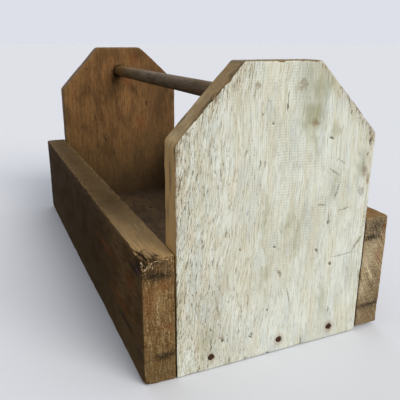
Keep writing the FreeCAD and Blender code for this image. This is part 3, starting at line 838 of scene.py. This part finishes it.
# the low board on the left, its near top corner split off
leftPlan = dict(
    node="left_side_board", grain=1, step=(1.5, 1.7, 1.5), nailAxis=0,
    nails=("painted_left_corner_nails", "bare_left_corner_nails", "left_floor_nails"),
    edgeWear=1.2, edgeFade=2.2, hollow=0.35, ridge=0.14, tear=2.2,
    # each break is a plane, the way it faces and a point on it: the first cuts the corner 7 mm across,
    # 13 mm along and 8 mm down
    breaks=[((-8 * 13, -7 * 8, 7 * 13), (leftLow[0] + 7, leftLow[1], leftHigh[2])),
            ((-0.9, -0.12, 0.42), (leftLow[0] + 3.7, leftLow[1], leftHigh[2]))],
    rounder=[(leftLow, (7, 7, 7), 1.6)],
    fine={0: [(leftLow[0], leftLow[0] + 9.3, 0.5)], 1: [(leftLow[1], leftLow[1] + 18, 0.5)],
          2: [(leftHigh[2] - 13.8, leftHigh[2], 0.45)]},
    # weathered: dark brown outside, partly painted shadow there, paler on top, darker towards the far end,
    # stained and splintered at its near end
    look=dict(
        pith=(-160, 0, 30), ringGap=2.8, ringBend=2.2, ringShows=0.5,
        earlyWood="#84683f", lateWood="#634829", broadTone="#745836", fibre="#583f26",
        grime="#4c3a27", pore="#2f2317", pale="#b09970", rim="#a2865c",
        rimShows=0.42, gloss=0.02, paleShows=0.35, fibreShows=0.75,
        ends=dict(base="#7b5e3b", dark="#46341f", pale="#b09a70", rays=(1.1, 1.0, 6.5)),
        # the outer face's dark tone is partly painted shadow
        faces=[((-1, 0, 0), "#2c1c10", 0.44), ((0, 0, 1), "#c9ae80", 0.33), ((1, 0, 0), "#574430", 0.4)],
        fades=[("#34240f", 0.8, 1, -152, -74), ("#5a4d33", 0.4, 2, 34, 10)],
        marks=[
            # reddish brown places on the outer face and on the near end
            ("#70401f", 0.55, 0.8, [
                ((-89, -163, 60), (4, 11, 7)), ((-89, -140, 34), (4, 22, 4)), ((-89, -100, 58), (4, 26, 4)),
                ((-85, -188, 56), (4, 3, 11)), ((-77, -188, 65), (8, 3, 4)), ((-81, -188, 16), (2, 3, 3)),
                ((-75, -188, 38), (4, 3, 1.5)),
            ]),
            # greyer wood under the broken corner, and a paler place below it
            ("#4b3b2c", 0.7, 0.7, [((-84, -188, 75), (7, 3, 5)), ((-77, -188, 79), (8, 3, 3))]),
            ("#b89a6c", 0.4, 0.9, [((-79, -188, 57), (4, 3, 11))]),
            # iron stains at the corner nails, and two streaks of them along the outer face
            ("#242019", 0.85, 0.7, [
                ((-79, -188, 72.6), (11, 4, 3.2), (0, 3, 0)), ((-75, -188, 19), (9, 4, 3.2), (0, -4, 0)),
                ((-89, -172, 72), (3, 9, 3)), ((-89, -150, 24), (3, 24, 2)),
            ]),
            # the broken corner darker, with two black cracks
            ("#30241c", 0.9, 0.5, [((-85.5, -182, 79.5), (7, 9, 5)), ((-82, -186, 82), (5, 4, 3))]),
            ("#120d0a", 0.9, 0.4, [
                ((-86, -176, 82.5), (6, 0.8, 3), (0, 0, 25)), ((-79, -184, 83.4), (0.8, 4, 3), (0, 0, 10)),
            ]),
            # pale splinters there, and a pale streak further down
            ("#c9b792", 0.85, 0.3, [
                ((-86.6, -187, 77.6), (2.6, 2.4, 0.4), (0, -38, 0)),
                ((-83.4, -187, 79.4), (2.6, 2.4, 0.35), (0, -30, 0)),
                ((-87.8, -185, 79.6), (0.35, 2.4, 2.0)), ((-85.0, -186, 80.2), (0.35, 2.4, 1.6), (0, 30, 0)),
                ((-80.6, -187, 81.0), (2.0, 2.4, 0.35), (0, -18, 0)),
                ((-82.2, -186, 77.6), (0.3, 2.4, 1.8), (0, 18, 0)),
                ((-78.2, -187, 81.6), (0.35, 2.4, 1.4), (0, -10, 0)),
                ((-74.0, -187, 82.0), (3.0, 2, 0.5), (0, 6, 0)),
                ((-71.0, -187, 80.4), (0.4, 2, 1.6), (0, 8, 0)), ((-79.5, -188, 50), (0.3, 3, 8), (0, 2, 0)),
            ]),
        ],
        # painted shade in the gap at the painted board
        seams=[((paintedLow[0], paintedLow[1], 20), (0.5, 3, 66))],
    ),
)
leftBoard = makeBoard("leftSideBoard", leftPlan)
standsFor(leftBoard, boxBody, leftPlan["node"], barePine("agedSidePine", leftPlan))

# the low board on the right, a little above the table, its outer top edge worn right down
rightPlan = dict(
    node="right_side_board", grain=1, step=(1.5, 1.7, 1.5), nailAxis=0,
    nails=("painted_right_corner_nails", "bare_right_corner_nails", "right_floor_nails"),
    edgeWear=1.2, edgeFade=2.2, hollow=0.3, ridge=0.14,
    rounder=[((rightHigh[0], 0, rightHigh[2]), (9, 600, 9), 0.7),
             ((rightHigh[0], rightLow[1], 18), (4, 5, 4), 0.8)],
    # pale and dark rays in the end grain, warm brown on top
    look=dict(
        pith=(70, 0, 110), ringGap=2.6, ringBend=1.6, ringShows=0.5,
        earlyWood="#927549", lateWood="#6f5332", broadTone="#80623c", fibre="#654c2e",
        grime="#57442d", pore="#33281c", pale="#b8a47f", rim="#a58c62", fibreShows=0.8,
        ends=dict(base="#a28d6b", dark="#5d4a34", pale="#e6dab9", rays=(1.5, 1.0, 30), rayShows=0.75,
                  fan=dict(edge=68.4, slope=1.1, curl=6.0)),
        faces=[((0, 0, 1), "#7d5c2f", 0.6), ((1, 0, 0), "#5a402d", 0.5)],
        fades=[("#665237", 0.5, 2, 36, 14)],
        marks=[
            # the near end: pale clean places, duller ones at its outer foot, and a dark top
            ("#e6dab9", 0.32, 0.9, [((75, -188, 57), (9, 3, 9)), ((72, -188, 32), (4, 3, 6))]),
            ("#54432c", 0.6, 0.8, [((89, -188, 24), (6, 3, 13)), ((82, -188, 34), (5, 3, 5))]),
            ("#3a2e1f", 0.75, 0.7, [((80, -188, 79), (14, 4, 8))]),
            # iron stains at the corner nails
            ("#17110e", 0.85, 0.6, [
                ((76, -188, 71.3), (8, 4, 2.2)), ((81, -188, 18.5), (13, 4, 2.1), (0, -3, 0)),
            ]),
            # reddish wood at the outer edge
            ("#84491f", 0.45, 0.8, [((87, -188, 76), (2.4, 3, 8)), ((84, -188, 57), (4, 3, 7))]),
        ],
        # painted shade in the gap at the painted board
        seams=[((paintedHigh[0], paintedLow[1], 20), (0.5, 3, 68))],
    ),
)
rightBoard = makeBoard("rightSideBoard", rightPlan)
standsFor(rightBoard, boxBody, rightPlan["node"], barePine("sawnSidePine", rightPlan))

# the tray's floor, dirty, with one old nail hole
oldHole = dict(
    # dark: the size of the painted shade inside the hole
    middle=(10.2, 99.5, 13), half=(2.4, 2.4, 20), depth=6.0, dark=(2.7, 2.7, 20), around=3.2, step=0.4,
)
floorPlan = dict(
    node="floor_board", grain=1, step=(1.8, 1.8, 1.5), nails=(), nailAxis=2,
    edgeWear=0.8, edgeFade=2.0, hollow=0.35, ridge=0.14,
    dents=[(oldHole["middle"], oldHole["half"], oldHole["depth"])],
    fine={axis: [(oldHole["middle"][axis] - oldHole["around"],
                  oldHole["middle"][axis] + oldHole["around"], oldHole["step"])] for axis in (0, 1)},
    # years of dirt: dark, grey and dull
    look=dict(
        pith=(10, 0, -180), ringGap=3.4, ringBend=2.8, ringShows=0.4,
        earlyWood="#5f4d38", lateWood="#463626", broadTone="#504032", fibre="#3d3023",
        grime="#332a21", pore="#211a13", pale="#7c6d55", rim="#5d4a34", scuffShows=0.5,
        # darker towards the far end and towards the left side
        fades=[("#2a2119", 0.6, 1, 120, 172), ("#2f261c", 0.5, 0, -45, -69)],
        # painted shade inside the old hole
        seams=[(oldHole["middle"], oldHole["dark"])],
    ),
)
floorBoard = makeBoard("floorBoard", floorPlan)
standsFor(floorBoard, boxBody, floorPlan["node"], barePine("dirtyFloorPine", floorPlan))


def makeHandle(name, plan):
    # planed by hand and rubbed smooth: slightly out of round, flatter where hands held it
    around, rows = plan["around"], axisLines(-plan["halfLength"], plan["halfLength"], plan["step"])
    points, edge = [], []
    for y in rows:
        end = plan["halfLength"] - abs(y)
        for i in range(around):
            a = 2 * math.pi * i / around
            x, z = math.cos(a), math.sin(a)
            out = sum(share * noise.noise(Vector((x * rate, y / length, z * rate + shift)))
                      for share, rate, length, shift in plan["bumps"])
            worn = max(0, plan["worn"] + plan["uneven"] * out) + max(0, plan["chamfer"] - end)
            radius = plan["radius"] - plan["shy"] - worn
            points.append((plan["middle"][0] + x * radius, y, plan["middle"][1] + z * radius))
            edge.append(math.exp(-end / plan["edgeFade"]))
    return meshObject(name, points, tubeFaces(around, len(rows), True), np.array(edge))


handle = makeHandle("handleBar", handlePlan)
standsFor(handle, handleBody, handlePlan["node"], barePine("handledPine", handlePlan))
print("handle:", len(handle.data.polygons), "faces")

steel = rustedSteel(steelLook)
nailPlan = dict(
    # from the head's face down: depth and radius of each ring
    rings=[(0.0, 0.0), (0.03, 1.0), (0.06, 1.7), (0.2, 2.08), (0.45, 2.17), (0.8, 2.1), (1.0, 1.4),
           (1.5, 1.2), (20.0, 1.2), (38.0, 1.17), (41.9, 0.4), (41.95, 0.0)],
    around=20, uneven=0.09, headDepth=1.2,
)


def makeNails(name, node, outward, plan):
    # wire nails with hammered, slightly uneven heads; the nails of one joint are one piece
    outward = np.array(outward, float)
    side = np.array([0.0, 0.0, 1.0])
    other = np.cross(outward, side)
    count = plan["around"]
    points, quads = [], []
    for nail, head in enumerate(allHeads[node]):
        first = len(points)
        for depth, radius in plan["rings"]:
            for i in range(count):
                a = 2 * math.pi * i / count
                wobble = noise.noise(Vector((math.cos(a) * 1.3 + nail * 3, math.sin(a) * 1.3, 0.4)))
                r = radius * (1 - plan["uneven"] * (0.5 + wobble) * (depth < plan["headDepth"]))
                points.append(head - outward * depth + (side * math.cos(a) + other * math.sin(a)) * r)
        for ring in range(len(plan["rings"]) - 1):
            a = first + ring * count
            quads += [(a + i, a + count + i, a + count + (i + 1) % count, a + (i + 1) % count)
                      for i in range(count)]
    piece = meshObject(name, points, quads)
    merged = piece.modifiers.new("weld", "WELD")
    merged.merge_threshold = 0.01 * mm
    applyModifiers(piece)
    standsFor(piece, boxBody, node, steel)


for node, outward in nailGroups.items():
    words = node.split("_")
    makeNails(words[0] + "".join(w.capitalize() for w in words[1:]), node, outward, nailPlan)
print("nails made")

# floor, light and camera
stagePlan = dict(
    backdrop="#dde0e8", floor="#dfe3eb", bounce="#77777a", size=60.0,
    air=0.42, airTint="#f7f7f8",
    # sun lamps: towards the light, strength, how soft, tint
    lamps=dict(key=((0.35, -0.85, 0.6), 2.45, 40, "#fff9f0"), side=((0.9, -0.2, 0.5), 0.4, 60, "#f4f7ff"),
               back=((0.1, 0.9, 0.5), 0.9, 60, "#f7f8ff")),
)

bpy.ops.mesh.primitive_plane_add(size=stagePlan["size"])
floor = bpy.context.object
floor.name = "studioFloor"
paper = bpy.data.materials.new("matPaper")
paper.use_nodes = True
floorTree, floorShader = paper.node_tree, paper.node_tree.nodes["Principled BSDF"]
world = bpy.data.worlds.new("studio")
bpy.context.scene.world = world
world.use_nodes = True
air, sky = world.node_tree, world.node_tree.nodes["Background"]


def seenDirectly(tree):
    # 1 for what the camera, gloss or glass sees, 0 for light on its way to the object
    seen = put(tree, "LightPath", out="Is Camera Ray")
    for ray in ("Is Glossy Ray", "Is Transmission Ray"):
        seen = put(tree, "Math", {0: seen, 1: put(tree, "LightPath", out=ray)}, operation="MAXIMUM")
    return seen


# pale paper to look at, but it throws no more light on the object than a grey table does
paperTone = coats(floorTree, linear(stagePlan["bounce"]), [(stagePlan["floor"], seenDirectly(floorTree))])
floorTree.links.new(paperTone, floorShader.inputs["Base Color"])
floorShader.inputs["Roughness"].default_value = 0.9
floorShader.inputs["Specular IOR Level"].default_value = 0.0
floor.data.materials.append(paper)
seen = seenDirectly(air)
air.links.new(put(air, "MapRange", {"Value": seen, 3: stagePlan["air"], 4: 1.0}), sky.inputs["Strength"])
air.links.new(coats(air, linear(stagePlan["airTint"]), [(stagePlan["backdrop"], seen)]), sky.inputs["Color"])

for name, (towards, strength, soft, tint) in stagePlan["lamps"].items():
    sun = bpy.data.lights.new(name + "Lamp", "SUN")
    sun.energy, sun.angle, sun.color = strength, math.radians(soft), linear(tint)[:3]
    holder = bpy.data.objects.new(name + "Lamp", sun)
    bpy.context.scene.collection.objects.link(holder)
    holder.location = towards
    holder.rotation_euler = Vector(towards).to_track_quat("Z", "Y").to_euler()

# from the camera fit: place in mm, angles in degrees, focal length and frame in pixels
cameraPlan = dict(
    place=(-161.3, -430.1, 199.4), yaw=23.963, pitch=17.776, roll=-0.357, focal=496.81, frame=400,
    sensor=36, nearest=0.01, farthest=50,
)
yaw, pitch, roll = (math.radians(cameraPlan[k]) for k in ("yaw", "pitch", "roll"))
forward = Vector((math.sin(yaw) * math.cos(pitch), math.cos(yaw) * math.cos(pitch), -math.sin(pitch)))
right = Vector((math.cos(yaw), -math.sin(yaw), 0))
down = forward.cross(right)
across = right * math.cos(roll) + down * math.sin(roll)
below = down * math.cos(roll) - right * math.sin(roll)
lens = bpy.data.cameras.new("camera")
lens.sensor_width = cameraPlan["sensor"]
lens.lens = cameraPlan["focal"] / cameraPlan["frame"] * lens.sensor_width
lens.clip_start, lens.clip_end = cameraPlan["nearest"], cameraPlan["farthest"]
camera = bpy.data.objects.new("camera", lens)
bpy.context.scene.collection.objects.link(camera)
camera.location = Vector(cameraPlan["place"]) * mm
camera.rotation_euler = Matrix((across, -below, -forward)).transposed().to_euler()
bpy.context.scene.camera = camera
bpy.context.scene.view_settings.view_transform = "Standard"
print("stage, lamps and camera set")
